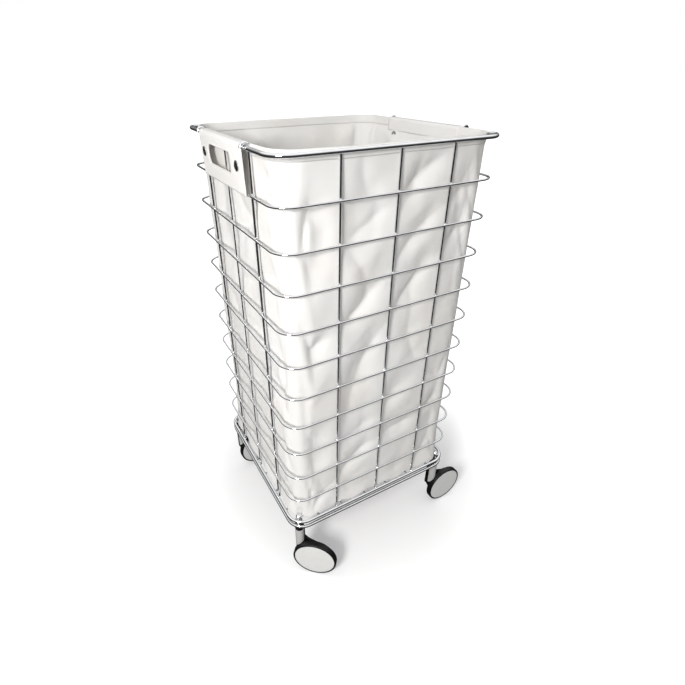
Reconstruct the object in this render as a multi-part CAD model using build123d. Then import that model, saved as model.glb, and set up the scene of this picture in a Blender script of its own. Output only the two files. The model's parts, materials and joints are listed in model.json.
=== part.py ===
from build123d import *
import math
import os

# Laundry cart: a chrome wire basket on four swivel casters with a lift-out canvas liner.
# Millimetres, +Z up, the floor at z = 0.  The wide face with three thin wires faces -Y and
# the handle flaps face -X and +X.  The origin is the centre of the footprint on the floor,
# which the front-right wheel, turned outwards, puts FOOTPRINT_X from the basket's centre line.

FOOTPRINT_X = 27.18

# wire basket
HALF_WIDTH = 187.0          # ring centre line to the basket's centre, along X
HALF_DEPTH = 182.0          # the same along Y
CORNER_RADIUS = 30.0        # ring centre line
RING_COUNT = 10
RING_PITCH = 60.0
RAIL_HEIGHT = 150.0         # centre line of the upper base rail
RAIL_GAP = 14.0             # upper base rail to lower base rail, centre to centre
RIM_HEIGHT = RAIL_HEIGHT + (RING_COUNT + 1) * RING_PITCH
RING_DIAMETER = 3.5
WIRE_DIAMETER = 3.5
POST_DIAMETER = 5.0
ROD_DIAMETER = 6.0          # rim and base rails
WELD_BITE = 0.02            # how far a welded wire sinks into the one it crosses
FRONT_WIRE_SPACING = 94.0
POST_SPACING = 97.0         # post to the middle wire of a handle side
FLOOR_WIRE_COUNT = 6        # each way
FLOOR_WIRE_PITCH = 54.0

# corner fittings
SLEEVE_RADIUS = 6.5
SLEEVE_BORE = 4.2
SLEEVE_TOP = RAIL_HEIGHT + 1.0
STEM_RADIUS = 4.0
STEM_FOOT = 88.0
STEM_TOP = SLEEVE_TOP + 4.5
STEM_CHAMFER = 0.6
NUT_ACROSS_FLATS = 13.0
NUT_HEX_HEIGHT = 4.0
NUT_DOME_RADIUS = 6.3
NUT_DOME_SINK = 2.2         # how far the dome's centre lies below the top of the hexagon
COLLAR_RADIUS = 9.0
COLLAR_HEIGHT = 12.0
COLLAR_CHAMFER = 1.2
RUNNING_GAP = 0.05          # radial clearance of everything that turns

# casters, before they are turned: the wheel trails along +X and its face looks along -Y
SWIVEL_ANGLES = {
    "front_left": -42.0,
    "front_right": 1.0,
    "back_left": 5.0,
    "back_right": 138.0,
}
WHEEL_RADIUS = 45.0
WHEEL_FACE = 15.0           # face of the wheel in front of the swivel axis
WHEEL_BACK = -3.0           # back of the wheel, which also lies in front of the swivel axis
WHEEL_ROUNDING = 1.8
TRAIL = 33.0                # swivel axis to axle
TYRE_GAP = 1.5
CAP_RADIUS = 41.3
CAP_SEAT = 1.5              # depth of the shallow seat in the wheel's face
CAP_THICKNESS = 1.2
CAP_ROUNDING = 0.5
BARREL_RADIUS = 8.3
BARREL_FOOT = 56.0
BARREL_TOP = 120.5
COVER_SEAT = 1.5            # depth that the cover is let into the barrel
COVER_PROUD = 0.4
COVER_EDGE = 0.8            # how far the half shell reaches behind the swivel axis
COVER_TOP = BARREL_TOP - 1.0
SHOULDER_TOP = 115.0
SHOULDER_BACK = 13.0
ARM_FRONT = -1.5            # wheel side of the arm
ARM_BACK = 4.5
ARM_DISC_RADIUS = 36.0
AXLE_RADIUS = 4.0
AXLE_HEAD_RADIUS = 7.0
AXLE_HEAD_HEIGHT = 1.6
AXLE_END_GAP = 0.5          # end of the pin to the back of the cap

# canvas liner
CLOTH = 1.5
LINER_HALF_WIDTH = 179.8
LINER_HALF_DEPTH = 176.4
LINER_FOOT = 152.3
LINER_TOP = 813.5
LINER_CORNER_TOP = 42.0
LINER_CORNER_FOOT = 48.0
FLAP_HALF_LENGTH = 94.0
FLAP_FOOT = 748.5
FLAP_STANDOFF = 3.5         # rim centre line to the inside of the fold
SLOT_HALF_LENGTH = 52.0
SLOT_HALF_HEIGHT = 14.0
SLOT_RADIUS = 11.0
SLOT_HEIGHT = 785.0
STUD_OFFSET = 73.0
STUD_RADIUS = 7.5
STUD_CAP = 1.5              # thickness of the cap
STUD_SHANK = 2.4
STUD_WASHER_RADIUS = 5.0
STUD_WASHER = 1.4           # thickness of the washer behind the cloth

# worked out from the above
ROD_INSET = (ROD_DIAMETER - RING_DIAMETER) / 2
ROD_HALF_WIDTH = HALF_WIDTH + ROD_INSET
ROD_HALF_DEPTH = HALF_DEPTH + ROD_INSET
ROD_CORNER = CORNER_RADIUS + ROD_INSET
LOWER_RAIL_HEIGHT = RAIL_HEIGHT - RAIL_GAP
RAIL_FOOT = LOWER_RAIL_HEIGHT - ROD_DIAMETER / 2
SLEEVE_INSET = ROD_DIAMETER / 2 + SLEEVE_RADIUS - 2 * WELD_BITE
ARC_REACH = (ROD_CORNER - SLEEVE_INSET) * math.sqrt(0.5)
SWIVEL_X = HALF_WIDTH - CORNER_RADIUS + ARC_REACH
SWIVEL_Y = HALF_DEPTH - CORNER_RADIUS + ARC_REACH
CORNERS = {
    "front_left": (-1, -1),
    "front_right": (1, -1),
    "back_left": (-1, 1),
    "back_right": (1, 1),
}
STANDING = (Align.CENTER, Align.CENTER, Align.MIN)


def write(shape, name):
    export_step(Pos(-FOOTPRINT_X, 0, 0) * shape, f"parts/{name}.step")


def loop(half_width, half_depth, corner, diameter, height):
    """Closed rounded rectangle of round rod, lying flat."""
    outline = Pos(0, 0, height) * RectangleRounded(2 * half_width, 2 * half_depth, corner)
    start = Plane(origin=(0, -half_depth, height), x_dir=(0, 1, 0), z_dir=(1, 0, 0))
    return sweep(start * Circle(diameter / 2), path=outline.face().outer_wire())


def rod_loop(height):
    return loop(ROD_HALF_WIDTH, ROD_HALF_DEPTH, ROD_CORNER, ROD_DIAMETER, height)


def upright(x, y, radius, foot, top):
    """Straight vertical rod."""
    return Pos(x, y, foot) * Cylinder(radius, top - foot, align=STANDING)


def tube(radius, bore, foot, top):
    """Vertical tube on the Z axis."""
    return upright(0, 0, radius, foot, top) - upright(0, 0, bore, foot - 1, top + 1)


def post(side, y):
    """Side post whose top end hooks outwards over the rim."""
    x = HALF_WIDTH - (RING_DIAMETER + POST_DIAMETER) / 2 + WELD_BITE
    radius = (ROD_DIAMETER + POST_DIAMETER) / 2
    foot = RAIL_HEIGHT - ROD_DIAMETER / 2
    stem_line = Line((x, y, foot), (x, y, RIM_HEIGHT))
    hook_top = (x + radius, y, RIM_HEIGHT + radius)
    hook_line = ThreePointArc((x, y, RIM_HEIGHT), hook_top, (x + 2 * radius, y, RIM_HEIGHT))
    section = Plane(origin=(x, y, foot), z_dir=(0, 0, 1)) * Circle(POST_DIAMETER / 2)
    rod = sweep(section, path=Wire([stem_line.edge(), hook_line.edge()]))
    return rod if side > 0 else mirror(rod, about=Plane.YZ)


def floor_wires(axis):
    """Parallel floor wires between the sides; the cross set lies under the long one."""
    along_y = axis == "Y"
    half_span = (ROD_HALF_DEPTH if along_y else ROD_HALF_WIDTH) - ROD_DIAMETER / 2 + WELD_BITE
    height = RAIL_HEIGHT if along_y else RAIL_HEIGHT - WIRE_DIAMETER + WELD_BITE
    rod = Rot(90, 0, 0) * Cylinder(WIRE_DIAMETER / 2, 2 * half_span)
    wires = []
    for step in range(FLOOR_WIRE_COUNT):
        place = (step - (FLOOR_WIRE_COUNT - 1) / 2) * FLOOR_WIRE_PITCH
        if along_y:
            wires.append(Pos(place, 0, height) * rod)
        else:
            wires.append(Pos(0, place, height) * Rot(0, 0, 90) * rod)
    return Compound(children=wires)


def at_corners(shape):
    """The same upright fitting at all four swivel axes."""
    return Compound(
        children=[Pos(sx * SWIVEL_X, sy * SWIVEL_Y, 0) * shape for sx, sy in CORNERS.values()])


def acorn_nut():
    """Hexagon with its top corners turned off and a domed end, bored from below for the stem."""
    flat = NUT_ACROSS_FLATS / 2
    slope = NUT_HEX_HEIGHT * math.sqrt(3)
    hexagon = extrude(RegularPolygon(flat, 6, major_radius=False), NUT_HEX_HEIGHT)
    hexagon &= Cone(flat + slope, flat, NUT_HEX_HEIGHT, align=STANDING)
    dome = Sphere(NUT_DOME_RADIUS, arc_size1=0, align=STANDING)
    body = Pos(0, 0, SLEEVE_TOP) * (hexagon + Pos(0, 0, NUT_HEX_HEIGHT - NUT_DOME_SINK) * dome)
    return body - upright(0, 0, STEM_RADIUS + RUNNING_GAP, SLEEVE_TOP - 1, STEM_TOP + 0.5)


def collar():
    """Round lock collar between the lower rail and the caster."""
    ring = tube(COLLAR_RADIUS, STEM_RADIUS + RUNNING_GAP, RAIL_FOOT - COLLAR_HEIGHT, RAIL_FOOT)
    foot_edges = ring.edges().filter_by(GeomType.CIRCLE).group_by(Axis.Z)[0]
    return chamfer(foot_edges.sort_by(SortBy.RADIUS)[-1], COLLAR_CHAMFER)


def stem():
    rod = upright(0, 0, STEM_RADIUS, STEM_FOOT, STEM_TOP)
    return chamfer(rod.edges().filter_by(GeomType.CIRCLE), STEM_CHAMFER)


def across(radius, front, back):
    """Cylinder along Y about the axle, from y = -front to y = back."""
    middle = (back - front) / 2
    return Pos(TRAIL, middle, WHEEL_RADIUS) * Rot(90, 0, 0) * Cylinder(radius, front + back)


def wheel_room(back):
    """What is cut away above the tyre, back to y = back, so that it turns freely."""
    return across(WHEEL_RADIUS + TYRE_GAP, 30, back)


def face_side(foot, top):
    """Block that holds everything on the face side of the swivel axis."""
    depth = 2 * BARREL_RADIUS
    middle = COVER_EDGE - depth / 2
    return Pos(0, middle, foot) * Box(2 * depth, depth, top - foot, align=STANDING)


def stem_cover():
    """Bright half shell on the face side of the caster's barrel."""
    shell = tube(BARREL_RADIUS + COVER_PROUD, BARREL_RADIUS - COVER_SEAT, BARREL_FOOT, COVER_TOP)
    return (shell & face_side(BARREL_FOOT, COVER_TOP)) - wheel_room(30)


def caster_body():
    """Barrel on the stem with a one-sided arm down the back of the wheel."""
    barrel = upright(0, 0, BARREL_RADIUS, BARREL_FOOT, BARREL_TOP)
    shoulder = Pos(0, SHOULDER_BACK / 2, BARREL_FOOT) * Box(
        2 * BARREL_RADIUS, SHOULDER_BACK, SHOULDER_TOP - BARREL_FOOT, align=STANDING)
    shoulder = fillet(shoulder.edges().filter_by(Axis.Z).group_by(Axis.Y)[-1], 4.0)
    shoulder = chamfer(shoulder.faces().sort_by(Axis.Z)[-1].edges().sort_by(Axis.Y)[-1], 1.4)

    outline = Polyline(
        (-BARREL_RADIUS, 104.0), (BARREL_RADIUS, 104.0), (BARREL_RADIUS, 97.0), (18.0, 87.0),
        (TRAIL, 80.0), (TRAIL, 20.0), (-2.0, 42.0), (-BARREL_RADIUS, BARREL_FOOT), close=True)
    neck = Plane.XZ * make_face(outline)
    neck = Pos(0, ARM_FRONT, 0) * extrude(neck, amount=-(ARM_BACK - ARM_FRONT))
    disc = across(ARM_DISC_RADIUS, -ARM_FRONT, ARM_BACK)
    disc = fillet(disc.edges().filter_by(GeomType.CIRCLE).sort_by(Axis.Y)[-1], 2.5)

    body = (barrel + shoulder - wheel_room(ARM_FRONT)) + neck + disc
    body -= upright(0, 0, STEM_RADIUS + RUNNING_GAP, STEM_FOOT - 1, BARREL_TOP + 1)
    seat = tube(BARREL_RADIUS + 3, BARREL_RADIUS - COVER_SEAT, BARREL_FOOT - 10, COVER_TOP)
    body -= seat & face_side(BARREL_FOOT - 10, COVER_TOP)
    return body - across(AXLE_RADIUS, 20, 20)


def wheel():
    """Black disc wheel with a shallow seat for the face cap."""
    disc = across(WHEEL_RADIUS, WHEEL_FACE, WHEEL_BACK)
    disc = fillet(disc.edges().filter_by(GeomType.CIRCLE), WHEEL_ROUNDING)
    disc -= across(CAP_RADIUS, 20, CAP_SEAT - WHEEL_FACE)
    return disc - across(AXLE_RADIUS + RUNNING_GAP, 20, 20)


def wheel_cap():
    """Bright flat cover on the wheel's face."""
    back = CAP_SEAT - WHEEL_FACE
    cap = across(CAP_RADIUS - RUNNING_GAP, CAP_THICKNESS - back, back)
    return fillet(cap.edges().filter_by(GeomType.CIRCLE).sort_by(Axis.Y)[0], CAP_ROUNDING)


def axle():
    """Pin pressed into the arm, with a flat head at the back."""
    pin = across(AXLE_RADIUS, WHEEL_FACE - CAP_SEAT - AXLE_END_GAP, ARM_BACK)
    return pin + across(AXLE_HEAD_RADIUS, -ARM_BACK, ARM_BACK + AXLE_HEAD_HEIGHT)


def liner_block(half_width, half_depth, corner_foot, corner_top, foot, top):
    """Upright block whose rounded corners change from foot to top."""
    lower = Pos(0, 0, foot) * RectangleRounded(2 * half_width, 2 * half_depth, corner_foot)
    upper = Pos(0, 0, top) * RectangleRounded(2 * half_width, 2 * half_depth, corner_top)
    return loft([lower, upper])


def stud_holes(x, length):
    """Holes for the shanks of the two studs of one side, along X about x."""
    hole = Rot(0, 90, 0) * Cylinder(STUD_SHANK + RUNNING_GAP, length)
    return [Pos(x, y, SLOT_HEIGHT) * hole for y in (-STUD_OFFSET, STUD_OFFSET)]


def liner_bag():
    """Open canvas bag that fills the basket."""
    over = 5.0
    taper = (LINER_CORNER_TOP - LINER_CORNER_FOOT) / (LINER_TOP - LINER_FOOT)
    bag = liner_block(
        LINER_HALF_WIDTH, LINER_HALF_DEPTH, LINER_CORNER_FOOT, LINER_CORNER_TOP,
        LINER_FOOT, LINER_TOP)
    bag -= liner_block(
        LINER_HALF_WIDTH - CLOTH, LINER_HALF_DEPTH - CLOTH,
        LINER_CORNER_FOOT - CLOTH + taper * CLOTH, LINER_CORNER_TOP - CLOTH + taper * over,
        LINER_FOOT + CLOTH, LINER_TOP + over)
    return bag - stud_holes(0, 3 * LINER_HALF_WIDTH)


def fold_line(standoff):
    """Path from the bag's edge over the rim and down its outside, standoff from the rod's centre."""
    knee = standoff * math.sqrt(0.5)
    over = RIM_HEIGHT + standoff
    outside = ROD_HALF_WIDTH + standoff
    across_top = Line((LINER_HALF_WIDTH - CLOTH, 0, over), (ROD_HALF_WIDTH, 0, over))
    bend = ThreePointArc(
        (ROD_HALF_WIDTH, 0, over), (ROD_HALF_WIDTH + knee, 0, RIM_HEIGHT + knee),
        (outside, 0, RIM_HEIGHT))
    down = Line((outside, 0, RIM_HEIGHT), (outside, 0, FLAP_FOOT))
    return [across_top.edge(), bend.edge(), down.edge()]


def flap(side):
    """Cloth strip sewn to the bag's top edge, folded over the rim, with a hand hole."""
    face_x = ROD_HALF_WIDTH + FLAP_STANDOFF
    inner = fold_line(FLAP_STANDOFF)
    outer = fold_line(FLAP_STANDOFF + CLOTH)
    hem = Line(inner[-1] @ 1, outer[-1] @ 1)
    root = Line(outer[0] @ 0, inner[0] @ 0)
    profile = Face(Wire([*inner, hem.edge(), *outer, root.edge()]))
    strip = extrude(profile, amount=2 * FLAP_HALF_LENGTH, dir=(0, -1, 0))
    strip = Pos(0, FLAP_HALF_LENGTH, 0) * strip
    slot = RectangleRounded(2 * SLOT_HALF_HEIGHT, 2 * SLOT_HALF_LENGTH, SLOT_RADIUS)
    slot = extrude(slot, FLAP_STANDOFF, both=True)
    strip -= Pos(face_x, 0, SLOT_HEIGHT) * Rot(0, 90, 0) * slot
    strip -= stud_holes(face_x, 2 * FLAP_STANDOFF)
    return strip if side > 0 else mirror(strip, about=Plane.YZ)


def stud_disc(radius, start, thickness, inward):
    middle = inward * (start + thickness / 2)
    return Pos(middle, 0, 0) * Rot(0, 90, 0) * Cylinder(radius, thickness)


def stud(cap_face, inward):
    """Half of a press stud through one cloth layer; inward is +1 or -1, from cap to washer."""
    cap = stud_disc(STUD_RADIUS, 0, STUD_CAP, inward)
    rims = cap.edges().filter_by(GeomType.CIRCLE).sort_by(Axis.X)
    cap = fillet(rims[0 if inward > 0 else -1], 0.9)
    shank = stud_disc(STUD_SHANK, STUD_CAP / 2, STUD_CAP / 2 + CLOTH, inward)
    washer = stud_disc(STUD_WASHER_RADIUS, STUD_CAP + CLOTH, STUD_WASHER, inward)
    return Pos(cap_face, 0, SLOT_HEIGHT) * (cap + shank + washer)


def stud_set(half):
    """One stud half at both ends of both hand holes."""
    right = [Pos(0, y, 0) * half for y in (-STUD_OFFSET, STUD_OFFSET)]
    left = [mirror(stud_half, about=Plane.YZ) for stud_half in right]
    return Compound(children=right + left)


os.makedirs("parts", exist_ok=True)

write(rod_loop(RIM_HEIGHT), "top_rim")
for number in range(1, RING_COUNT + 1):
    height = RIM_HEIGHT - number * RING_PITCH
    write(loop(HALF_WIDTH, HALF_DEPTH, CORNER_RADIUS, RING_DIAMETER, height), f"ring_{number:02d}")
write(rod_loop(RAIL_HEIGHT), "base_rail_upper")
write(rod_loop(LOWER_RAIL_HEIGHT), "base_rail_lower")

crossing = (RING_DIAMETER + WIRE_DIAMETER) / 2 - WELD_BITE      # ring centre to wire centre
for side, side_name in ((-1, "left"), (1, "right")):
    for end, end_name in ((-1, "front"), (1, "back")):
        write(post(side, end * POST_SPACING), f"post_{side_name}_{end_name}")
    wire_x = side * (HALF_WIDTH - crossing)
    write(upright(wire_x, 0, WIRE_DIAMETER / 2, RAIL_HEIGHT, RIM_HEIGHT), f"wire_{side_name}")
for end, end_name in ((-1, "front"), (1, "back")):
    wire_y = end * (HALF_DEPTH - crossing)
    for place, place_name in ((-1, "left"), (0, "middle"), (1, "right")):
        wire_x = place * FRONT_WIRE_SPACING
        wire = upright(wire_x, wire_y, WIRE_DIAMETER / 2, RAIL_HEIGHT, RIM_HEIGHT)
        write(wire, f"wire_{end_name}_{place_name}")
write(floor_wires("Y"), "floor_wires_long")
write(floor_wires("X"), "floor_wires_cross")

write(at_corners(tube(SLEEVE_RADIUS, SLEEVE_BORE, RAIL_FOOT, SLEEVE_TOP)), "corner_sleeves")
write(at_corners(acorn_nut()), "acorn_nuts")
write(at_corners(collar()), "lock_collars")

for corner, (sx, sy) in CORNERS.items():
    place = Pos(sx * SWIVEL_X, sy * SWIVEL_Y, 0)
    turned = place * Rot(0, 0, SWIVEL_ANGLES[corner])
    write(place * stem(), f"stem_{corner}")
    write(turned * caster_body(), f"caster_body_{corner}")
    write(turned * stem_cover(), f"stem_cover_{corner}")
    write(turned * axle(), f"axle_{corner}")
    write(turned * wheel(), f"wheel_{corner}")
    write(turned * wheel_cap(), f"wheel_cap_{corner}")

write(liner_bag(), "liner_bag")
write(flap(-1), "liner_flap_left")
write(flap(1), "liner_flap_right")
flap_face = ROD_HALF_WIDTH + FLAP_STANDOFF + CLOTH
write(stud_set(stud(flap_face + STUD_CAP, -1)), "flap_studs")
write(stud_set(stud(LINER_HALF_WIDTH - CLOTH - STUD_CAP, 1)), "bag_studs")
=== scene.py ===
import json
import math

import bmesh
import bpy
from mathutils import Matrix, Vector, noise


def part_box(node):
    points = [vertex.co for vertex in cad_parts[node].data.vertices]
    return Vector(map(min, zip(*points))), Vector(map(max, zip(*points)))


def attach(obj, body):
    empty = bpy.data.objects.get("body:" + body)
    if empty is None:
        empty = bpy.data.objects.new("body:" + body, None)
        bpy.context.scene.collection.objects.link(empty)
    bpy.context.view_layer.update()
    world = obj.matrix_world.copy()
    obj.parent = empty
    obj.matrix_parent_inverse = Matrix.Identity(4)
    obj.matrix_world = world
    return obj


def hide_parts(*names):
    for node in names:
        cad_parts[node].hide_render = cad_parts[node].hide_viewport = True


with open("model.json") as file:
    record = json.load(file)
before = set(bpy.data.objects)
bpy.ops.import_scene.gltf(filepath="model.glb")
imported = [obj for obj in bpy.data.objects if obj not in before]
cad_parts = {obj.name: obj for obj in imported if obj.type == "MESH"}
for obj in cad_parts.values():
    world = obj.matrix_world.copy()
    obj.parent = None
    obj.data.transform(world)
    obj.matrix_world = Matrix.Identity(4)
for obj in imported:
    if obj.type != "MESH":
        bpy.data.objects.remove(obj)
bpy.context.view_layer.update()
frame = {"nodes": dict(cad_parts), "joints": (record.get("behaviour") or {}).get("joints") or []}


# ---------------------------------------------------------------------------------------------
# Wire basket: drawn steel wire and rod, bent into ten rings, a rim and two base rails, with
# straight uprights resistance-welded inside them.  Everything is bright chrome plate, so its
# finish is nearly a mirror, with faint drawing lines, wiping haze and a little dust.

class Signal:
    """An output of a shader node.  Arithmetic on signals adds Math nodes to their finish."""

    def __init__(self, finish, output):
        self.finish = finish
        self.output = output

    def maths(self, operation, *values):
        return self.finish.node("ShaderNodeMath", {"operation": operation}, dict(enumerate(values)))

    def __add__(self, other):
        return self.maths("ADD", self, other)

    def __sub__(self, other):
        return self.maths("SUBTRACT", self, other)

    def __mul__(self, other):
        return self.maths("MULTIPLY", self, other)

    def __radd__(self, other):
        return self.maths("ADD", other, self)

    def __rsub__(self, other):
        return self.maths("SUBTRACT", other, self)

    def __rmul__(self, other):
        return self.maths("MULTIPLY", other, self)

    def __pow__(self, other):
        return self.maths("POWER", self, other)

    def __abs__(self):
        return self.maths("ABSOLUTE", self)

    def above(self, level):
        return self.maths("GREATER_THAN", self, level)

    def wave(self, period):
        """Sine of this length, which repeats every two periods and is zero at each."""
        return self.maths("SINE", self * (math.pi / period))

    def between(self, low, high):
        """0 below low, 1 above high and a smooth step from one to the other."""
        settings = {"interpolation_type": "SMOOTHSTEP"}
        sockets = {"Value": self, "From Min": low, "From Max": high}
        return self.finish.node("ShaderNodeMapRange", settings, sockets)


class Finish:
    """A material with one Principled shader, built up node by node."""

    def __init__(self, name, **constants):
        self.material = bpy.data.materials.new(name)
        self.material.use_nodes = True
        self.tree = self.material.node_tree
        self.shader = self.tree.nodes["Principled BSDF"]
        for socket, value in constants.items():
            self.shader.inputs[socket.replace("_", " ")].default_value = value

    def node(self, kind, settings=None, sockets=None, out=0):
        """Adds a node: its settings first, then the values or links of its sockets."""
        made = self.tree.nodes.new(kind)
        for key, value in (settings or {}).items():
            if key == "stops":
                self.set_stops(made.color_ramp, value)
            else:
                setattr(made, key, value)
        for key, value in (sockets or {}).items():
            self.join(made, key, value)
        return Signal(self, made.outputs[out])

    def set_stops(self, ramp, stops):
        while len(ramp.elements) < len(stops):
            ramp.elements.new(0.5)
        for element, (place, colour) in zip(ramp.elements, stops):
            element.position = place
            element.color = (*colour, 1.0)

    def join(self, made, key, value):
        socket = made.inputs[key] if isinstance(key, int) else self.named(made, key)
        if isinstance(value, Signal):
            self.tree.links.new(value.output, socket)
        else:
            socket.default_value = value

    def named(self, made, key):
        """A socket by identifier, which is unique on a Mix node, or else by name."""
        by_identifier = [s for s in made.inputs if s.identifier == key]
        return by_identifier[0] if by_identifier else made.inputs[key]

    def set(self, key, value):
        self.join(self.shader, key, value)

    def place(self, centre=(0, 0, 0), turn=0.0):
        """Object coordinates from a centre, turned about the vertical to a piece's own axes."""
        coordinates = self.node("ShaderNodeTexCoord", out=3)
        moved = self.node(
            "ShaderNodeVectorMath", {"operation": "SUBTRACT"}, {0: coordinates, 1: centre})
        return self.node(
            "ShaderNodeMapping", {"vector_type": "POINT"}, {0: moved, "Rotation": (0, 0, -turn)})

    def parts(self, vector):
        """The X, Y and Z of a vector."""
        split = self.node("ShaderNodeSeparateXYZ", None, {0: vector})
        return [Signal(self, output) for output in split.output.node.outputs]

    def stretch(self, vector, scale):
        return self.node("ShaderNodeVectorMath", {"operation": "MULTIPLY"}, {0: vector, 1: scale})

    def cloud(self, vector, scale, detail=2.0, roughness=0.5):
        """Soft noise from 0 to 1."""
        sockets = {"Vector": vector, "Scale": scale, "Detail": detail, "Roughness": roughness}
        return self.node("ShaderNodeTexNoise", None, sockets)

    def blend(self, factor, first, second):
        """A colour between two others."""
        sockets = {"Factor_Float": factor, "A_Color": first, "B_Color": second}
        return self.node("ShaderNodeMix", {"data_type": "RGBA"}, sockets, out=2)

    def relief(self, height, distance, strength=1.0):
        sockets = {"Height": height, "Distance": distance, "Strength": strength}
        self.set("Normal", self.node("ShaderNodeBump", None, sockets))


def chrome(name, haze, colour=(0.83, 0.84, 0.855)):
    """Bright chrome plate: haze is the roughness of a freshly wiped stretch."""
    finish = Finish(name, Metallic=1.0, Specular_IOR_Level=0.5)
    here = finish.place()
    wiped = finish.cloud(here, 38.0, 3.0).between(0.42, 0.72)
    dust = finish.cloud(here, 900.0, 2.0).between(0.66, 0.80)
    drawn = finish.cloud(finish.stretch(here, (1.0, 1.0, 0.06)), 2600.0, 1.0)
    dull = tuple(0.86 * c for c in colour)
    finish.set("Base Color", finish.blend(wiped * 0.5 + dust * 0.35, (*colour, 1), (*dull, 1)))
    finish.set("Roughness", wiped * 0.05 + dust * 0.12 + drawn * 0.03 + haze)
    finish.relief(drawn + dust * 0.4, 0.00004, 0.25)
    return finish.material


wire_chrome = chrome("wire_chrome", 0.07)
RING_NAMES = [f"ring_{number:02d}" for number in range(1, 11)]
LOOP_NAMES = ["top_rim", *RING_NAMES, "base_rail_upper"]
POST_NAMES = [f"post_{side}_{end}" for side in ("left", "right") for end in ("front", "back")]
THIN_WIRE_NAMES = ["wire_left", "wire_right"]
THIN_WIRE_NAMES += [
    f"wire_{end}_{place}" for end in ("front", "back") for place in ("left", "middle", "right")]


def dress(node_names, material):
    """Gives CAD nodes a finish of their own."""
    for name in node_names:
        frame["nodes"][name].data.materials.clear()
        frame["nodes"][name].data.materials.append(material)


dress(LOOP_NAMES + ["base_rail_lower"] + POST_NAMES + THIN_WIRE_NAMES, wire_chrome)
dress(["floor_wires_long", "floor_wires_cross", "corner_sleeves"], wire_chrome)


# ---------------------------------------------------------------------------------------------
# Spot welds: where a ring crosses an upright the two wires are pressed and fused together, which
# leaves a small flattened bead of plated metal that stands out on both sides of the joint.

weld_chrome = chrome("weld_chrome", 0.16, (0.88, 0.885, 0.89))
BEAD_SPREAD = 0.0027
BEAD_DEPTH = 0.0016
BEAD_SEGMENTS = 12
BEAD_RINGS = 6


def finish_piece(name, mesh_builder, material, body, closed=True):
    """Makes the piece from its bmesh, shaded smooth and riding on its body."""
    if closed:
        bmesh.ops.recalc_face_normals(mesh_builder, faces=mesh_builder.faces)
    mesh = bpy.data.meshes.new(name)
    mesh_builder.to_mesh(mesh)
    mesh_builder.free()
    mesh.shade_smooth()
    mesh.materials.append(material)
    made = bpy.data.objects.new(name, mesh)
    bpy.context.scene.collection.objects.link(made)
    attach(made, body)
    return made


def middle(node_name):
    low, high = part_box(node_name)
    return (low + high) / 2


def weld_places():
    """Contact point and outward direction of every loop on every upright."""
    for loop_name in LOOP_NAMES:
        loop_low, loop_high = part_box(loop_name)
        rod = (loop_high.z - loop_low.z) / 2
        height = (loop_high.z + loop_low.z) / 2
        for wire_name in POST_NAMES + THIN_WIRE_NAMES:
            if loop_name == "top_rim" and wire_name in POST_NAMES:
                continue
            here = middle(wire_name)
            if wire_name in POST_NAMES or wire_name in ("wire_left", "wire_right"):
                outward = Vector((-1 if "left" in wire_name else 1, 0, 0))
                edge = loop_low.x if outward.x < 0 else loop_high.x
                yield Vector((edge - outward.x * 2 * rod, here.y, height)), outward
            else:
                outward = Vector((0, -1 if "front" in wire_name else 1, 0))
                edge = loop_low.y if outward.y < 0 else loop_high.y
                yield Vector((here.x, edge - outward.y * 2 * rod, height)), outward


beads = bmesh.new()
for contact, outward in weld_places():
    turned = outward.to_track_quat("Z", "Y").to_matrix().to_4x4()
    flattened = Matrix.Diagonal((BEAD_SPREAD, BEAD_SPREAD, BEAD_DEPTH, 1.0))
    bmesh.ops.create_uvsphere(
        beads, u_segments=BEAD_SEGMENTS, v_segments=BEAD_RINGS, radius=1.0,
        matrix=Matrix.Translation(contact) @ turned @ flattened)
weld_beads = finish_piece("weld_beads", beads, weld_chrome, "frame")


# ---------------------------------------------------------------------------------------------
# Corner fittings: a turned acorn nut clamps each caster stem through its sleeve from above, and
# a black moulded collar locks it from below.  The stems are plain ground steel.

def ground_steel(name):
    """Plain steel with fine lines round the turned part."""
    finish = Finish(name, Metallic=1.0)
    here = finish.place()
    lines = finish.cloud(finish.stretch(here, (0.08, 0.08, 1.0)), 5200.0, 1.0)
    stain = finish.cloud(here, 160.0, 3.0).between(0.45, 0.75)
    finish.set("Base Color", finish.blend(stain, (0.60, 0.60, 0.61, 1), (0.47, 0.465, 0.46, 1)))
    finish.set("Roughness", lines * 0.12 + stain * 0.12 + 0.20)
    finish.relief(lines, 0.00004, 0.35)
    return finish.material


def black_moulding(name, gloss, wear=0.03):
    """Black moulded plastic: fine texture, rubbed spots and a little dust."""
    finish = Finish(name, Specular_IOR_Level=0.35)
    here = finish.place()
    grain = finish.cloud(here, 3200.0, 2.0)
    rubbed = finish.cloud(here, 70.0, 4.0, 0.6).between(0.50, 0.74)
    dust = finish.cloud(here, 700.0, 2.0).between(0.62, 0.80)
    colour = finish.blend(rubbed * 0.6, (0.005, 0.005, 0.0055, 1), (0.012, 0.012, 0.0125, 1))
    finish.set("Base Color", finish.blend(dust * wear, colour, (0.22, 0.215, 0.21, 1)))
    finish.set("Roughness", rubbed * 0.10 + dust * 0.15 + grain * 0.06 + gloss)
    finish.relief(grain, 0.00006, 0.25)
    return finish.material


nut_chrome = chrome("nut_chrome", 0.05, (0.86, 0.865, 0.875))
stem_steel = ground_steel("stem_steel")
caster_black = black_moulding("caster_black", 0.20)
CORNERS = ("front_left", "front_right", "back_left", "back_right")

dress(["acorn_nuts"], nut_chrome)
dress(["lock_collars"], caster_black)
dress([f"{part}_{corner}" for part in ("stem", "axle") for corner in CORNERS], stem_steel)


# ---------------------------------------------------------------------------------------------
# Casters: a black glass-filled arm behind the wheel, a bright half shell clipped to the face of
# the swivel barrel, and a black rubber-edged disc wheel whose face is one flat silver cover.

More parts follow.
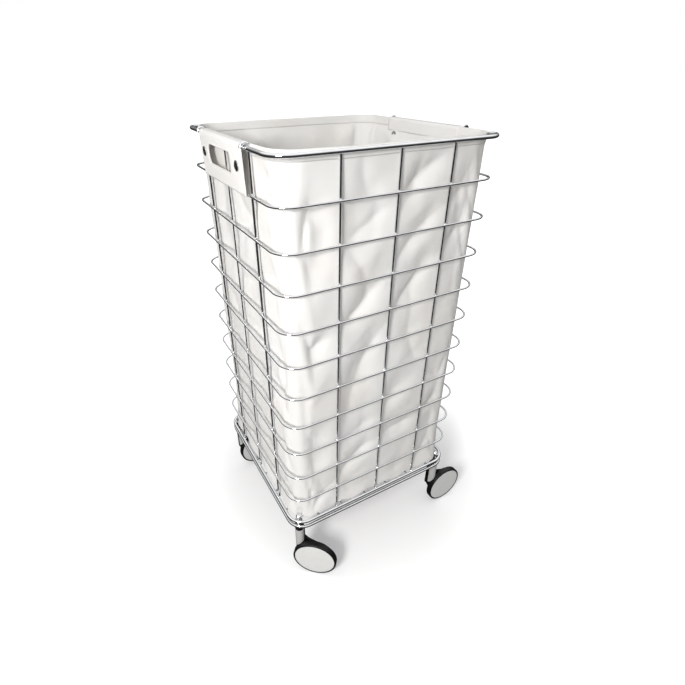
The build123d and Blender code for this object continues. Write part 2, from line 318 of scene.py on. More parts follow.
COVER_METAL = 0.10         # silver paint on the wheel covers, barely metallic
SHELL_METAL = 0.45         # satin plate on the half shells
COVER_LINE = 0.00035
DIRT_RADII = (0.0385, 0.0418)


def silver_cover(name, centre, turn, round_lines):
    """Silver satin finish, with fine lines round the wheel cover or up the half shell."""
    metal = COVER_METAL if round_lines else SHELL_METAL
    finish = Finish(name, Metallic=metal, Coat_Weight=0.15, Coat_Roughness=0.15)
    here = finish.place(centre, turn)
    x, _, z = finish.parts(here)
    radius = (x * x + z * z) ** 0.5
    smudge = finish.cloud(here, 90.0, 3.0).between(0.45, 0.75)
    colour = finish.blend(smudge * 0.5, (0.93, 0.93, 0.91, 1), (0.86, 0.86, 0.84, 1))
    if round_lines:
        lines = radius.wave(COVER_LINE)
        rim_dirt = radius.between(*DIRT_RADII)
        colour = finish.blend(rim_dirt * 0.25, colour, (0.5, 0.49, 0.47, 1))
    else:
        lines = finish.cloud(finish.stretch(here, (1.0, 1.0, 0.05)), 3600.0, 1.0)
    finish.set("Base Color", colour)
    finish.set("Roughness", smudge * 0.10 + lines * 0.02 + 0.30)
    finish.relief(lines, 0.00002, 0.2)
    return finish.material


tyre_black = black_moulding("tyre_black", 0.36, wear=0.08)
axes = {joint["name"]: joint for joint in frame["joints"]}

for corner in CORNERS:
    axle_axis = Vector(axes[f"roll_{corner}"]["axis"])
    facing = math.atan2(-axle_axis.x, axle_axis.y)
    wheel_centre = middle(f"wheel_{corner}")
    cover_finish = silver_cover(f"cover_silver_{corner}", wheel_centre, facing, True)
    shell_finish = silver_cover(f"shell_silver_{corner}", wheel_centre, facing, False)
    dress([f"wheel_cap_{corner}"], cover_finish)
    dress([f"stem_cover_{corner}"], shell_finish)
    dress([f"wheel_{corner}"], tyre_black)
    dress([f"caster_body_{corner}"], caster_black)


# ---------------------------------------------------------------------------------------------
# Canvas bag: one strip of unbleached cotton canvas wrapped round and closed by a lapped seam in
# the back right corner, with a bottom panel sewn in.  It hangs loose inside the wires, so it
# stands full at its corners and slackens into soft slanting folds between them.

CANVAS = 0.0011
YARN = 0.0009
UV_LENGTH = 1.5            # metres of cloth across the whole of the pattern's square


def canvas_finish(name, colour=(0.845, 0.84, 0.825)):
    """Plain-woven cotton: yarns over and under, slubs, and soft warm and cool patches."""
    finish = Finish(name, Sheen_Weight=0.12, Sheen_Roughness=0.45, Specular_IOR_Level=0.2)
    pattern = finish.node("ShaderNodeUVMap", {"uv_map": "cloth"})
    cloth = finish.stretch(pattern, (UV_LENGTH, UV_LENGTH, 0.0))
    slub = finish.cloud(finish.stretch(cloth, (1.0, 9.0, 1.0)), 70.0, 2.0)
    warp_slub = finish.cloud(finish.stretch(cloth, (9.0, 1.0, 1.0)), 70.0, 2.0)
    u, v, _ = finish.parts(cloth)
    warp, weft = u.wave(YARN), v.wave(YARN)
    over = (warp * weft).above(0.0)
    height = over * abs(warp) * (warp_slub * 0.6 + 0.7)
    height = height + (1 - over) * abs(weft) * (slub * 0.6 + 0.7)
    patches = finish.cloud(cloth, 9.0, 3.0, 0.55)
    warm = tuple(c * f for c, f in zip(colour, (0.985, 0.970, 0.950)))
    light = finish.blend(patches.between(0.35, 0.70), (*colour, 1), (*warm, 1))
    # Painted shade: the low parts of the weave, between the yarns, are darkened toward warm grey.
    dark = finish.blend(0.5, light, (0.52, 0.50, 0.47, 1))
    finish.set("Base Color", finish.blend((1 - height).between(0.35, 1.0) * 0.42, light, dark))
    finish.set("Roughness", slub * 0.08 + 0.84)
    finish.relief(height, 0.00022, 0.55)
    return finish.material


canvas = canvas_finish("canvas")
bag_low, bag_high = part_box("liner_bag")
BAG_CENTRE = (bag_low + bag_high) / 2
BAG_HALF_X = (bag_high.x - bag_low.x) / 2 - CANVAS / 2
BAG_HALF_Y = (bag_high.y - bag_low.y) / 2 - CANVAS / 2
BAG_FOOT = bag_low.z + CANVAS / 2
BAG_TOP = bag_high.z - 0.0006
CORNER_FOOT = 0.032        # the bag's corner radius where it is sewn to its bottom
CORNER_TOP = 0.042         # and over the rest of its height
CORNER_RISE = 0.080
WRAP_COLUMNS = 300
WALL_ROWS = 150
FOOT_TURN = 0.004          # radius of the turn from wall to bottom panel
FOOT_LAP = 0.006           # how far the wall's edge reaches in under the bottom panel
LAP_SHARE = 2 / 150        # shares of the wall's rows that make the lap and then the turn
TURN_SHARE = 6 / 150
BULGE = 0.0030             # how far the cloth swells out between two uprights
NUT_ROOM = 0.0088          # the cloth's distance from the middle of a corner nut
FLOOR_WIRE_PITCH = 0.054
FLOOR_WIRE_REACH = 0.135   # last floor wire each way from the middle
DROOP = 0.0028             # how far the cloth drops between two floor wires
EDGE_DROOP = 0.0055        # the same along the front and back walls
SIDE_DROOP = 0.0035        # drop beyond the last floor wire each way
FOOT_SWELL = 0.0033        # how far the foot of the wall leans out over the rail


def smooth_step(value, low, high):
    share = min(max((value - low) / (high - low), 0.0), 1.0)
    return share * share * (3 - 2 * share)


def outline(share, half_x, half_y, corner):
    """Point and outward direction at a share of the way round, from the back right corner."""
    arc = corner * math.pi / 2
    runs = [2 * (half_x - corner), 2 * (half_y - corner)] * 2
    length = 4 * arc + sum(runs)
    travelled = (share * length + arc / 2) % length
    for quarter, run in enumerate(runs):
        sign_x = 1 if quarter in (0, 3) else -1
        sign_y = 1 if quarter in (0, 1) else -1
        pivot = Vector((sign_x * (half_x - corner), sign_y * (half_y - corner), 0))
        turned = quarter * math.pi / 2 + min(travelled / corner, math.pi / 2)
        outward = Vector((math.cos(turned), math.sin(turned), 0))
        if travelled <= arc + run:
            along = max(travelled - arc, 0.0)
            return pivot + outward * corner + Vector((-outward.y, outward.x, 0)) * along, outward
        travelled -= arc + run


def corner_at(height):
    return CORNER_FOOT + (CORNER_TOP - CORNER_FOOT) * smooth_step(height - BAG_FOOT, 0, CORNER_RISE)


UPRIGHTS_ALONG_X = [middle(f"wire_front_{place}").x - BAG_CENTRE.x
                    for place in ("left", "middle", "right")]
UPRIGHTS_ALONG_Y = [middle(name).y for name in ("post_left_front", "wire_left", "post_left_back")]
NUTS = [middle(f"stem_{corner}") - BAG_CENTRE for corner in CORNERS]


def between_uprights(point, outward):
    """0 at an upright and 1 well clear of the nearest one."""
    along_x = abs(outward.y) > 0.7
    places = UPRIGHTS_ALONG_X if along_x else UPRIGHTS_ALONG_Y
    here = point.x if along_x else point.y
    return smooth_step(min(abs(here - place) for place in places), 0.004, 0.036)


def crease(place, seed):
    """Sharp-edged folds: 1 along a fold's bottom, falling off smoothly to both sides."""
    return max(0.0, 1 - 2.6 * abs(noise.noise(place + seed))) ** 2


def stand_off(point, outward):
    """How far the cloth stands out from its flat shape (or in, below zero)."""
    rise = (point.z - BAG_FOOT) / (BAG_TOP - BAG_FOOT)
    flat = max(abs(outward.x), abs(outward.y)) ** 10
    held = smooth_step(rise, 0.0, 0.05) * smooth_step(1 - rise, 0.0, 0.06)
    along = point.x * -outward.y + point.y * outward.x
    seed = Vector((round(outward.x) * 3.1, round(outward.y) * 5.7, 0))
    slant = along * 0.58 - point.z * 0.81
    level = along * 0.81 + point.z * 0.58
    broad = noise.noise(Vector((slant * 11.0, level * 3.4, 0)) + seed)
    deep = crease(Vector((slant * 10.0, level * 3.0, 4.0)), seed)
    other = crease(Vector(((along + point.z * 0.35) * 8.0, point.z * 6.5, 9.0)), seed)
    narrow = noise.noise(Vector((slant * 26.0, level * 9.0, 1.0)) + seed)
    fine = noise.noise(point * 75.0)
    open_space = between_uprights(point, outward)
    swell = BULGE * open_space * (0.75 + 0.5 * broad)
    slack = 0.0022 + 0.0070 * max(0.0, broad) + 0.0084 * deep + 0.0042 * other
    slack += 0.0032 * narrow + 0.0006 * fine
    foot_swell = FOOT_SWELL * open_space * (1 - smooth_step(rise, 0.0, 0.05))
    flattened = held * flat * (swell - max(0.0, slack) * (0.35 + 0.65 * open_space))
    return flattened + foot_swell * flat + 0.0006 * narrow * held * (1 - flat)


def droop(x, y):
    """How far the cloth drops between the floor wires."""
    if abs(x) > FLOOR_WIRE_REACH:
        return SIDE_DROOP * smooth_step(abs(x) - FLOOR_WIRE_REACH, 0.0, 0.022)
    at_wall = smooth_step(abs(y), BAG_HALF_Y - 0.022, BAG_HALF_Y - 0.006)
    turn = 2 * math.pi * (x - FLOOR_WIRE_PITCH / 2) / FLOOR_WIRE_PITCH
    return (DROOP + (EDGE_DROOP - DROOP) * at_wall) * (1 - math.cos(turn)) / 2


def clear_of_nuts(point):
    """Moves a point near a corner nut sideways until the cloth passes it."""
    fade = 1 - smooth_step(point.z, BAG_FOOT + 0.008, BAG_FOOT + 0.030)
    for nut in NUTS:
        away = Vector((point.x - nut.x, point.y - nut.y, 0))
        inward = Vector((-nut.x, -nut.y, 0)).normalized()
        lack = NUT_ROOM - away.length
        if lack > 0:
            away = away + inward * 0.006
            point = point + away.normalized() * lack * 1.25 * fade
    return point


def wall_point(share, height, stand=0.0):
    """Point of the bag's wall at that share round and height, stand metres off its face."""
    flat, outward = outline(share, BAG_HALF_X, BAG_HALF_Y, corner_at(height))
    flat.z = height
    place = flat + outward * (stand + stand_off(flat, outward))
    place = clear_of_nuts(place)
    place.z -= droop(place.x, place.y) * (1 - smooth_step(height, BAG_FOOT, BAG_FOOT + 0.02))
    edge_wave = noise.noise(Vector((flat.x * 11, flat.y * 11, 5.0)))
    place.z += 0.0016 * edge_wave * smooth_step(height, BAG_TOP - 0.05, BAG_TOP)
    return Vector((BAG_CENTRE.x + place.x, BAG_CENTRE.y + place.y, place.z)), outward


def wrap(name, columns, rows, section, material, body="liner"):
    """A strip of cloth right round the bag; section turns 0..1 up the strip into (height, stand)."""
    strip = bmesh.new()
    bmesh.ops.create_grid(strip, x_segments=columns, y_segments=rows, size=0.5)
    cloth = strip.loops.layers.uv.new("cloth")
    girth = 4 * (BAG_HALF_X + BAG_HALF_Y) - (8 - 2 * math.pi) * CORNER_TOP
    lengths = [0.0]
    stations = [section(row / rows) for row in range(rows + 1)]
    for (z0, s0), (z1, s1) in zip(stations, stations[1:]):
        lengths.append(lengths[-1] + math.hypot(z1 - z0, s1 - s0))
    for face in strip.faces:
        for loop in face.loops:
            across, up = loop.vert.co.x + 0.5, loop.vert.co.y + 0.5
            run = lengths[round(up * rows)]
            loop[cloth].uv = (across * girth / UV_LENGTH, run / UV_LENGTH)
    for vertex in strip.verts:
        across, up = vertex.co.x + 0.5, vertex.co.y + 0.5
        height, stand = stations[round(up * rows)]
        vertex.co = wall_point(across, height, stand)[0]
    bmesh.ops.remove_doubles(strip, verts=strip.verts, dist=0.00005)
    return finish_piece(name, strip, material, body)


def wall_section(up):
    """The wall from its edge under the bottom panel, round its foot, to its top edge."""
    if up < LAP_SHARE:
        return BAG_FOOT, -FOOT_TURN - FOOT_LAP * (1 - up / LAP_SHARE)
    if up < TURN_SHARE:
        angle = (TURN_SHARE - up) / (TURN_SHARE - LAP_SHARE) * math.pi / 2
        return BAG_FOOT + FOOT_TURN * (1 - math.sin(angle)), -FOOT_TURN * (1 - math.cos(angle))
    rise = (up - TURN_SHARE) / (1 - TURN_SHARE)
    return BAG_FOOT + FOOT_TURN + (BAG_TOP - BAG_FOOT - FOOT_TURN) * rise, 0.0


def thicken(piece, thickness):
    """Solidify about the middle of the cloth."""
    layer = piece.modifiers.new("cloth_thickness", "SOLIDIFY")
    layer.thickness = thickness
    layer.offset = 0.0


bag_wall = wrap("bag_wall", WRAP_COLUMNS, WALL_ROWS, wall_section, canvas)
thicken(bag_wall, CANVAS)
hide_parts("liner_bag")

# The bottom panel is cut square with rounded corners and lies on the floor wires, a little
# slack, with its edge sewn to the turned-in foot of the wall.

PANEL_CELLS = 84


def bottom_panel():
    panel = bmesh.new()
    bmesh.ops.create_grid(panel, x_segments=PANEL_CELLS, y_segments=PANEL_CELLS, size=1.0)
    cloth = panel.loops.layers.uv.new("cloth")
    half_x, half_y = BAG_HALF_X - FOOT_TURN + 0.001, BAG_HALF_Y - FOOT_TURN + 0.001
    corner = CORNER_FOOT - FOOT_TURN
    for vertex in panel.verts:
        s, t = vertex.co.x, vertex.co.y
        reach = max(abs(s), abs(t))
        edge_x, edge_y = (s / reach * half_x, t / reach * half_y) if reach > 0 else (0.0, 0.0)
        beyond = Vector((abs(edge_x) - half_x + corner, abs(edge_y) - half_y + corner))
        if beyond.x > 0 and beyond.y > 0 and beyond.length > corner:
            kept = beyond * (corner / beyond.length)
            edge_x -= math.copysign(beyond.x - kept.x, edge_x)
            edge_y -= math.copysign(beyond.y - kept.y, edge_y)
        ripple = 0.5 + 0.5 * noise.noise(Vector((edge_x * reach * 14, edge_y * reach * 14, 3.0)))
        lift = 0.0008 * ripple * (1 - reach ** 6)
        x, y = edge_x * reach, edge_y * reach
        lift += 0.0003 - droop(x, y)
        vertex.co = (BAG_CENTRE.x + x, BAG_CENTRE.y + y, BAG_FOOT + lift)
    for face in panel.faces:
        for loop in face.loops:
            loop[cloth].uv = (loop.vert.co.x / UV_LENGTH, loop.vert.co.y / UV_LENGTH)
    return panel


bag_bottom = finish_piece("bag_bottom", bottom_panel(), canvas, "liner")
thicken(bag_bottom, CANVAS)

# The top edge is turned over twice into a narrow hem, which is held by rows of plain stitches in
# natural cotton thread.

HEM_WIDTH = 0.013
HEM_STAND = 0.0014
HEM_PINCH = 0.0009
HEM_ROWS = 14
HEM_STITCH_UP = 0.0025     # from the hem's lower edge up to its row of stitches
STITCH = 0.0027
STITCH_GAP = 0.0012
THREAD = 0.00042


def hem_section(up):
    """Up the outside, over the top edge and down the inside, pinched flat at both ends."""
    straight = 0.42
    if up < straight:
        swell = HEM_PINCH + (HEM_STAND - HEM_PINCH) * smooth_step(up, 0.0, 0.2)
        return BAG_TOP - HEM_WIDTH * (1 - up / straight), swell
    if up > 1 - straight:
        swell = HEM_PINCH + (HEM_STAND - HEM_PINCH) * smooth_step(1 - up, 0.0, 0.2)
        return BAG_TOP - HEM_WIDTH * (1 - (1 - up) / straight), -swell
    angle = (up - straight) / (1 - 2 * straight) * math.pi
    return BAG_TOP + HEM_STAND * 0.5 * math.sin(angle), HEM_STAND * math.cos(angle)


bag_hem = wrap("bag_hem", WRAP_COLUMNS, HEM_ROWS, hem_section, canvas)
thicken(bag_hem, CANVAS * 0.6)


def thread_finish(name):
    """Three-ply cotton thread, a little brighter than the cloth."""
    finish = Finish(name, Sheen_Weight=0.2, Specular_IOR_Level=0.3)
    here = finish.place()
    fibre = finish.cloud(here, 4200.0, 2.0)
    finish.set("Base Color", finish.blend(fibre, (0.86, 0.845, 0.81, 1), (0.70, 0.685, 0.65, 1)))
    finish.set("Roughness", fibre * 0.15 + 0.70)
    finish.relief(fibre, 0.0001, 0.4)
    return finish.material


cotton_thread = thread_finish("cotton_thread")


def sew(builder, route):
    """Stitches along a route of (point, outward direction), each sunk a little into the cloth."""
    spare = 0.0
    for (start, outward), (end, _) in zip(route, route[1:]):
        along = end - start
        length = along.length
        if length == 0:
            continue
        along.normalize()
        sideways = outward.cross(along).normalized()
        turned = Matrix((along, sideways, outward)).transposed().to_4x4()
        size = Matrix.Diagonal((STITCH / 2, THREAD, THREAD, 1.0))
        travelled = -spare
        while travelled + STITCH <= length + STITCH / 2:
            if travelled >= 0:
                centre = start + along * (travelled + STITCH / 2)
                bmesh.ops.create_uvsphere(
                    builder, u_segments=6, v_segments=4, radius=1.0,
                    matrix=Matrix.Translation(centre) @ turned @ size)
            travelled += STITCH + STITCH_GAP
        spare = max(0.0, length - travelled)


def wall_route(height, stand, first=0.0, last=1.0, steps=330):
    """Route round the wall at one height, stand metres off its face."""
    route = []
    for step in range(steps + 1):
        point, outward = wall_point(first + (last - first) * step / steps, height, stand)
        route.append((point, outward if stand > 0 else -outward))
    return route


stitches = bmesh.new()
hem_face = HEM_STAND + CANVAS * 0.2
for stand in (hem_face, -hem_face):
    sew(stitches, wall_route(BAG_TOP - HEM_WIDTH + HEM_STITCH_UP, stand))
hem_stitches = finish_piece("hem_stitches", stitches, cotton_thread, "liner")


# ---------------------------------------------------------------------------------------------
# Handle flaps: a double layer of the same canvas sewn inside each side's hem, folded out over the
# rim and hanging down its outside, with a hand hole that has a rolled edge.

SLOT_HALF_LENGTH = 0.052
SLOT_HALF_HEIGHT = 0.014
SLOT_CORNER = 0.011
SLOT_HEIGHT = middle("flap_studs").z
FLAP_THICKNESS = 0.0013
FLAP_LEAN = 0.0016         # how far the flap's foot swings in towards the top ring
FLAP_COLUMNS = 64
ROLL_RADIUS = 0.0011
ROLL_OUT = 0.0004          # the roll's middle lies this far outside the hand hole's edge
SLOT_STITCH_OUT = 0.005    # stitches round the hand hole
EDGE_STITCH_IN = 0.004     # and along the flap's edges
SEWN_INSIDE = 0.022        # how far the flap runs down inside the hem

# Painted light: the flaps' canvas is the bag's canvas made lighter, a lit copy of the same cloth.
flap_canvas_painted_light = canvas_finish("flap_canvas_painted_light", (0.875, 0.87, 0.855))
rim_low, rim_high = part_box("top_rim")
RIM_HEIGHT = (rim_low.z + rim_high.z) / 2
ROD = (rim_high.z - rim_low.z) / 2


class FlapShape:
    """One side's flap: side is -1 or +1."""

    def __init__(self, side, node_name):
        low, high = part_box(node_name)
        self.side = side
        self.half = (high.y - low.y) / 2
        self.foot = low.z
        self.rim_x = rim_high.x - ROD if side > 0 else rim_low.x + ROD
        self.outer = abs((high.x if side > 0 else low.x) - self.rim_x) - FLAP_THICKNESS / 2
        self.inner_x = BAG_CENTRE.x + side * (BAG_HALF_X - HEM_STAND - CANVAS)
        self.run_in = abs(self.rim_x - self.inner_x)
        self.quarter = self.outer * math.pi / 2
        self.length = SEWN_INSIDE + self.run_in + self.quarter + RIM_HEIGHT - self.foot

    def drop_at(self, height):
        """Distance along the cloth, from its sewn edge, to that height outside the rim."""
        return SEWN_INSIDE + self.run_in + self.quarter + RIM_HEIGHT - height

    def point(self, y, run):
        """Where the cloth lies: y across the side, run metres from its sewn edge."""
        over = RIM_HEIGHT + self.outer
        wave = noise.noise(Vector((y * 16, run * 9, self.side * 2.0)))
        if run < SEWN_INSIDE:
            return Vector((self.inner_x, y, over - SEWN_INSIDE + run)), Vector((-self.side, 0, 0))
        run -= SEWN_INSIDE
        if run < self.run_in:
            across = self.inner_x + self.side * run
            dip = 0.0006 * math.sin(math.pi * run / self.run_in)
            return Vector((across, y, over - dip)), Vector((0, 0, 1))
        run -= self.run_in
        if run < self.quarter:
            angle = run / self.outer
            outward = Vector((self.side * math.sin(angle), 0, math.cos(angle)))
            return Vector((self.rim_x, y, RIM_HEIGHT)) + outward * self.outer, outward
        run -= self.quarter
        share = run / (RIM_HEIGHT - self.foot)
        bow = 0.0016 * math.sin(math.pi * min(share, 1)) * (1 - (y / self.half) ** 2)
        bow += (0.0010 * wave - FLAP_LEAN) * share
        place = Vector((self.rim_x + self.side * (self.outer + bow), y, RIM_HEIGHT - run))
        return place, Vector((self.side, 0, 0))

    def sheet(self, name):
        """The cloth with its hand hole."""
        rows = round(self.length / (2 * self.half) * FLAP_COLUMNS)
        strip = bmesh.new()
        bmesh.ops.create_grid(strip, x_segments=FLAP_COLUMNS, y_segments=rows, size=0.5)
        slot_run = self.drop_at(SLOT_HEIGHT)
        cell_y, cell_run = 2 * self.half / FLAP_COLUMNS, self.length / rows
        for vertex in strip.verts:
            vertex.co = (vertex.co.x * 2 * self.half, (vertex.co.y + 0.5) * self.length, 0)
        hole = [
            face for face in strip.faces
            if self.in_slot(face.calc_center_median(), slot_run)]
        bmesh.ops.delete(strip, geom=hole, context="FACES")
        for vertex in strip.verts:
            near = abs(vertex.co.y - slot_run) < SLOT_HALF_HEIGHT + cell_run
            if vertex.is_boundary and near and abs(vertex.co.x) < SLOT_HALF_LENGTH + cell_y:
                vertex.co.x, vertex.co.y = self.onto_slot(vertex.co, slot_run)
        cloth = strip.loops.layers.uv.new("cloth")
        for face in strip.faces:
            for loop in face.loops:
                loop[cloth].uv = (loop.vert.co.x / UV_LENGTH + 0.5, loop.vert.co.y / UV_LENGTH)
        for vertex in strip.verts:
            vertex.co = self.point(vertex.co.x, vertex.co.y)[0]
        return finish_piece(name, strip, flap_canvas_painted_light, "liner")

    def in_slot(self, centre, slot_run):
        beyond_x = max(abs(centre.x) - SLOT_HALF_LENGTH + SLOT_CORNER, 0)
        beyond_y = max(abs(centre.y - slot_run) - SLOT_HALF_HEIGHT + SLOT_CORNER, 0)
        return math.hypot(beyond_x, beyond_y) < SLOT_CORNER

    def onto_slot(self, point, slot_run):
        """The nearest point of the hand hole's edge."""
        x, y = point.x, point.y - slot_run
        core_x = max(-SLOT_HALF_LENGTH + SLOT_CORNER, min(SLOT_HALF_LENGTH - SLOT_CORNER, x))
        core_y = max(-SLOT_HALF_HEIGHT + SLOT_CORNER, min(SLOT_HALF_HEIGHT - SLOT_CORNER, y))
        reach = math.hypot(x - core_x, y - core_y)
        share = SLOT_CORNER / reach
        return core_x + (x - core_x) * share, slot_run + core_y + (y - core_y) * share

    def slot_route(self, grow, stand, steps=150):
        """Route round the hand hole, grow metres outside its edge."""
        slot_run = self.drop_at(SLOT_HEIGHT)
        half_x, half_y = SLOT_HALF_LENGTH + grow, SLOT_HALF_HEIGHT + grow
        route = []
        for step in range(steps + 1):
            flat, _ = outline(step / steps, half_x, half_y, SLOT_CORNER + grow)
            place, outward = self.point(flat.x, slot_run + flat.y)
            route.append((place + outward * stand, outward))
        return route

    def edge_route(self, inset, stand, steps=40):
        """Route down one side, along the foot and up the other side, inset from the edge."""
        top = SEWN_INSIDE + self.run_in
        low = self.length - inset
        wide = self.half - inset
        corners = [(-wide, top), (-wide, low), (wide, low), (wide, top)]
        route = []
        for (y0, r0), (y1, r1) in zip(corners, corners[1:]):
            for step in range(steps + 1):
                share = step / steps
                place, outward = self.point(y0 + (y1 - y0) * share, r0 + (r1 - r0) * share)
                route.append((place + outward * stand, outward))
        return route


def rolled_edge(name, route, radius):
    """A closed roll of cloth along a route of (point, outward direction)."""
    curve = bpy.data.curves.new(name, "CURVE")
    curve.dimensions = "3D"
    curve.bevel_depth = radius
    curve.bevel_resolution = 2
    line = curve.splines.new("POLY")
    line.points.add(len(route) - 2)
    for knot, (point, _) in zip(line.points, route):
        knot.co = (*point, 1.0)
    line.use_cyclic_u = True
    holder = bpy.data.objects.new("roll_line", curve)
    builder = bmesh.new()
    builder.from_mesh(bpy.data.meshes.new_from_object(holder))
    bpy.data.objects.remove(holder)
    return finish_piece(name, builder, cotton_thread, "liner")


for side, side_name in ((-1, "left"), (1, "right")):
    node_name = f"liner_flap_{side_name}"
    shape = FlapShape(side, node_name)
    flap = shape.sheet(f"handle_flap_{side_name}")
    thicken(flap, FLAP_THICKNESS)
    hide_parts(node_name)

    slot_roll = rolled_edge(
        f"hand_hole_edge_{side_name}", shape.slot_route(ROLL_OUT, 0.0), ROLL_RADIUS)

    stitches = bmesh.new()
    face = FLAP_THICKNESS / 2
    sew(stitches, shape.slot_route(SLOT_STITCH_OUT, face))
    sew(stitches, shape.edge_route(EDGE_STITCH_IN, face))
    flap_stitches = finish_piece(f"flap_stitches_{side_name}", stitches, cotton_thread, "liner")


# ---------------------------------------------------------------------------------------------
# Press studs: dark nickel caps with a rolled rim and a shallow dimple, one half through the flap
# at each end of the hand hole and the other through the bag behind it.

def dark_nickel(name):
    """Dark nickel plate, tarnished in spots."""
    finish = Finish(name, Metallic=1.0)
    here = finish.place()
    tarnish = finish.cloud(here, 420.0, 3.0).between(0.40, 0.70)
    finish.set("Base Color", finish.blend(tarnish, (0.46, 0.455, 0.44, 1), (0.28, 0.27, 0.26, 1)))
    finish.set("Roughness", tarnish * 0.22 + 0.20)
    finish.relief(finish.cloud(here, 2600.0, 2.0), 0.00004, 0.3)
    return finish.material


nickel = dark_nickel("dark_nickel")


CAP_RADIUS = 0.0074
CAP_HEIGHT = 0.0017
STUD_MARGIN = 0.0075       # from the end of the CAD studs' box to a stud's middle
BAG_STUD_DEPTH = 0.0036    # from the bag's wall in to the caps of the studs behind the flap
FLAP_STUD_DEPTH = 0.0015
STUD_STEPS = 28
# Half section of a stud cap, in radii and heights: dimple, dome, rolled rim, shank behind it.
STUD_OUTLINE = [
    (0.0, 0.55), (0.22, 0.60), (0.34, 0.86), (0.50, 0.98), (0.72, 0.96), (0.88, 0.84),
    (0.97, 0.62), (1.0, 0.36), (0.96, 0.12), (0.86, 0.0), (0.34, 0.0), (0.30, -1.1),
    (0.66, -1.15), (0.66, -1.75), (0.0, -1.85)]


def studs(name, node_name, toward_axis):
    """Four studs in place of the CAD ones; toward_axis is +1 where caps face the basket's axis."""
    low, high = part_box(node_name)
    offset = (high.y - low.y) / 2 - STUD_MARGIN
    builder = bmesh.new()
    for side in (-1, 1):
        facing = -side * toward_axis
        if toward_axis > 0:
            cap_x = BAG_CENTRE.x + side * (BAG_HALF_X - BAG_STUD_DEPTH)
        else:
            cap_x = high.x - FLAP_STUD_DEPTH if side > 0 else low.x + FLAP_STUD_DEPTH
        for y in (-offset, offset):
            spun = bmesh.new()
            profile = [
                spun.verts.new((r * CAP_RADIUS, 0, h * CAP_HEIGHT)) for r, h in STUD_OUTLINE]
            edges = [spun.edges.new(pair) for pair in zip(profile, profile[1:])]
            bmesh.ops.spin(
                spun, geom=profile + edges, cent=(0, 0, 0), axis=(0, 0, 1),
                angle=2 * math.pi, steps=STUD_STEPS, use_merge=True)
            bmesh.ops.remove_doubles(spun, verts=spun.verts, dist=0.00002)
            bmesh.ops.recalc_face_normals(spun, faces=spun.faces)
            quarter = Matrix.Rotation(facing * math.pi / 2, 4, "Y")
            place = Matrix.Translation((cap_x, y, SLOT_HEIGHT))
            bmesh.ops.transform(spun, matrix=place @ quarter, verts=spun.verts)
            holder = bpy.data.meshes.new("stud_holder")
            spun.to_mesh(holder)
            spun.free()
            builder.from_mesh(holder)
            bpy.data.meshes.remove(holder)
    made = finish_piece(name, builder, nickel, "liner")
    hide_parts(node_name)
    return made


studs("studs_on_flaps", "flap_studs", -1)
studs("studs_on_bag", "bag_studs", 1)


# ---------------------------------------------------------------------------------------------
# Studio: a plain white floor that looks dark in the chrome and is greyer for bounced light, a
# pale surround, one soft light close by at the near corner, and the camera above that corner.

# Painted light: the floor glows to the camera though it is no lamp, and less under the cart, as
# painted shade.
NEAR_GLOW = 0.16           # light the floor gives off, to the camera only, under the cart
FAR_GLOW = 0.80            # and away from it
GLOW_FROM = 0.24           # distances from the middle between which it grows
GLOW_TO = 0.60
FLOOR_HALF = 60.0


def studio_floor():
    builder = bmesh.new()
    bmesh.ops.create_grid(builder, x_segments=1, y_segments=1, size=FLOOR_HALF)
    mesh = bpy.data.meshes.new("floor")
    builder.to_mesh(mesh)
    builder.free()
    floor = bpy.data.objects.new("floor", mesh)
    bpy.context.scene.collection.objects.link(floor)
    finish = Finish("floor_white", Roughness=0.9, Specular_IOR_Level=0.0)
    ray = finish.tree.nodes.new("ShaderNodeLightPath")
    glossy = Signal(finish, ray.outputs["Is Glossy Ray"])
    seen = Signal(finish, ray.outputs["Is Camera Ray"])
    # Painted reflection: near black to the chrome, grey to bounced light, white to the camera.
    bounce = finish.blend(glossy, (0.42, 0.42, 0.42, 1), (0.05, 0.05, 0.05, 1))
    finish.set("Base Color", finish.blend(seen, bounce, (0.86, 0.86, 0.86, 1)))
    x, y, _ = finish.parts(finish.place())
    away = ((x * x + y * y) ** 0.5).between(GLOW_FROM, GLOW_TO)
    glow = (away * (FAR_GLOW - NEAR_GLOW) + NEAR_GLOW) * seen
    finish.shader.inputs["Emission Strength"].default_value = 1.0
    finish.set("Emission Color", finish.blend(glow, (0, 0, 0, 1), (1, 1, 1, 1)))
    mesh.materials.append(finish.material)


def area_light(name, place, target, size, power, colour=(1.0, 1.0, 1.0)):
    lamp = bpy.data.lights.new(name, "AREA")
    lamp.shape = "SQUARE"
    lamp.size = size
    lamp.energy = power
    lamp.color = colour
    holder = bpy.data.objects.new(name, lamp)
    holder.location = place
    holder.rotation_euler = (Vector(target) - Vector(place)).to_track_quat("-Z", "Y").to_euler()
    bpy.context.scene.collection.objects.link(holder)


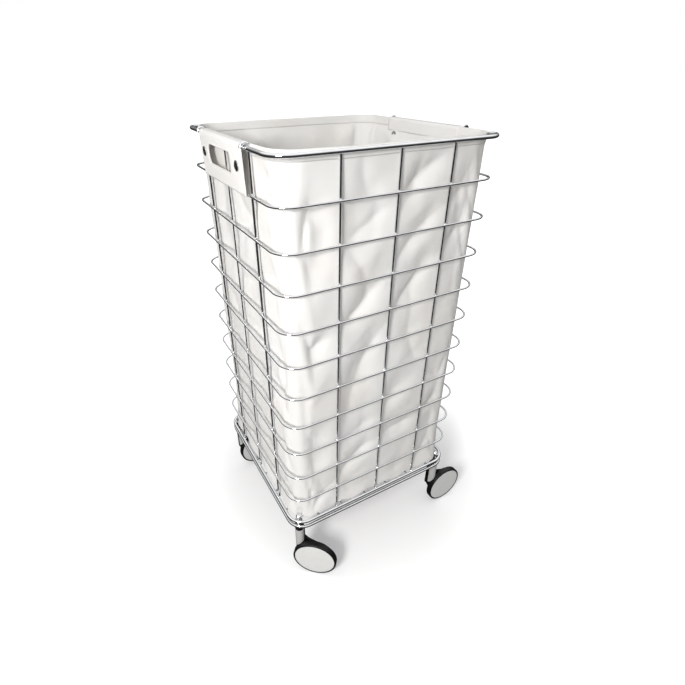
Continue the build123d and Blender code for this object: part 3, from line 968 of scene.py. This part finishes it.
def surround():
    """White to the camera, an even glow on the cloth, and to the chrome a dark room that is
    bright only overhead."""
    world = bpy.data.worlds.new("surround")
    bpy.context.scene.world = world
    world.use_nodes = True
    tree = world.node_tree
    tree.nodes.clear()
    direction = tree.nodes.new("ShaderNodeTexCoord")
    split = tree.nodes.new("ShaderNodeSeparateXYZ")
    tree.links.new(direction.outputs["Generated"], split.inputs[0])

    def sky(stops, strength):
        ramp = tree.nodes.new("ShaderNodeValToRGB")
        while len(ramp.color_ramp.elements) < len(stops):
            ramp.color_ramp.elements.new(0.5)
        for element, (place, level) in zip(ramp.color_ramp.elements, stops):
            element.position = place
            element.color = (level, level, level, 1)
        lit = tree.nodes.new("ShaderNodeBackground")
        lit.inputs["Strength"].default_value = strength
        tree.links.new(split.outputs["Z"], ramp.inputs["Fac"])
        tree.links.new(ramp.outputs["Color"], lit.inputs["Color"])
        return lit.outputs[0]

    soft_sky = sky([(0.0, 0.22), (0.8, 1.0)], 0.76)
    room_sky = sky([(0.0, 0.05), (0.22, 0.16), (0.50, 0.85), (0.95, 1.0)], 1.20)
    white = tree.nodes.new("ShaderNodeBackground")
    white.inputs["Color"].default_value = (1, 1, 1, 1)
    ray = tree.nodes.new("ShaderNodeLightPath")
    to_chrome = tree.nodes.new("ShaderNodeMixShader")
    tree.links.new(ray.outputs["Is Glossy Ray"], to_chrome.inputs[0])
    tree.links.new(soft_sky, to_chrome.inputs[1])
    tree.links.new(room_sky, to_chrome.inputs[2])
    to_camera = tree.nodes.new("ShaderNodeMixShader")
    tree.links.new(ray.outputs["Is Camera Ray"], to_camera.inputs[0])
    tree.links.new(to_chrome.outputs[0], to_camera.inputs[1])
    tree.links.new(white.outputs[0], to_camera.inputs[2])
    output = tree.nodes.new("ShaderNodeOutputWorld")
    tree.links.new(to_camera.outputs[0], output.inputs["Surface"])


studio_floor()
surround()
area_light("key", (-0.98, -0.80, 1.08), (-0.12, -0.10, 0.42), 0.32, 15.0, (1.0, 0.99, 0.98))

CAMERA_PLACE = (-0.42772, -0.68803, 0.89767)
CAMERA_YAW = math.radians(-29.202)
CAMERA_TILT = math.radians(57.75)
CAMERA_ROLL = math.radians(-0.228)
camera_data = bpy.data.cameras.new("camera")
camera_data.sensor_width = 36.0
camera_data.lens = 23.554
camera_data.shift_x = 0.02365
camera_data.shift_y = 0.00902
camera_data.clip_start = 0.01
camera_data.clip_end = 200.0
camera = bpy.data.objects.new("camera", camera_data)
camera.matrix_world = (
    Matrix.Translation(CAMERA_PLACE) @ Matrix.Rotation(CAMERA_YAW, 4, "Z")
    @ Matrix.Rotation(CAMERA_TILT, 4, "X") @ Matrix.Rotation(CAMERA_ROLL, 4, "Z"))
bpy.context.scene.collection.objects.link(camera)
bpy.context.scene.camera = camera
bpy.context.scene.view_settings.view_transform = "Standard"
